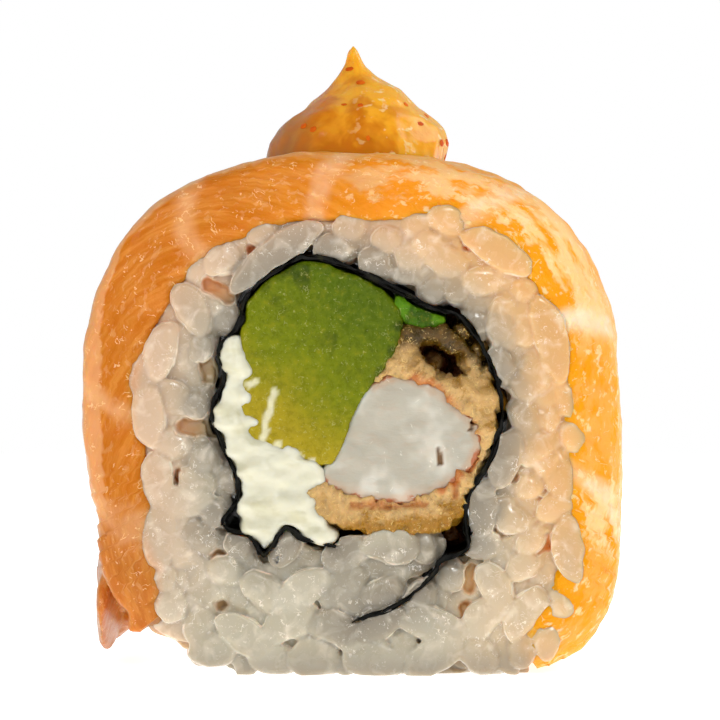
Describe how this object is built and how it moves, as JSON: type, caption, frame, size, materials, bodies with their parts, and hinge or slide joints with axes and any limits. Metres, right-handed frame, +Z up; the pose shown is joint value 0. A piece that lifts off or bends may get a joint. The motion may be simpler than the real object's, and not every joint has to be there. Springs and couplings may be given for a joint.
{
  "type": "uramaki roll slice",
  "caption": "Slice of inside-out sushi roll: salmon draped over a rice ring with curled nori, avocado, cream cheese and battered prawn, and a dab of sauce on top.",
  "frame": {"origin": "middle of the box round the slice, at the level of the table it stands on", "axes": "+Z up, from the rice foot to the tip of the sauce; -Y out of the front cut face; +X to the right seen from that face"},
  "size_m": [0.053, 0.0284, 0.0616],
  "materials": {
    "salmon": "raw salmon, moist and translucent, with pale fat lines",
    "rice": "cooked short-grain rice, sticky, translucent and glossy",
    "nori": "damp seaweed sheet, nearly black, crumpled",
    "avocado": "cut ripe avocado, green shading to yellow, softly moist",
    "cream_cheese": "soft white cheese, smeared and moist",
    "prawn": "cooked prawn flesh, white with a pink skin",
    "batter": "fried batter, porous and golden brown",
    "sauce": "thick spiced sauce, orange with red specks, glossy"
  },
  "bodies": {
    "root": {"salmon_slice": "salmon", "rice_ring": "rice", "nori_sheet": "nori", "avocado_wedge": "avocado", "avocado_sliver": "avocado", "cream_cheese": "cream_cheese", "prawn": "prawn", "prawn_batter": "batter", "sauce_dab": "sauce"}
  },
  "joints": []
}
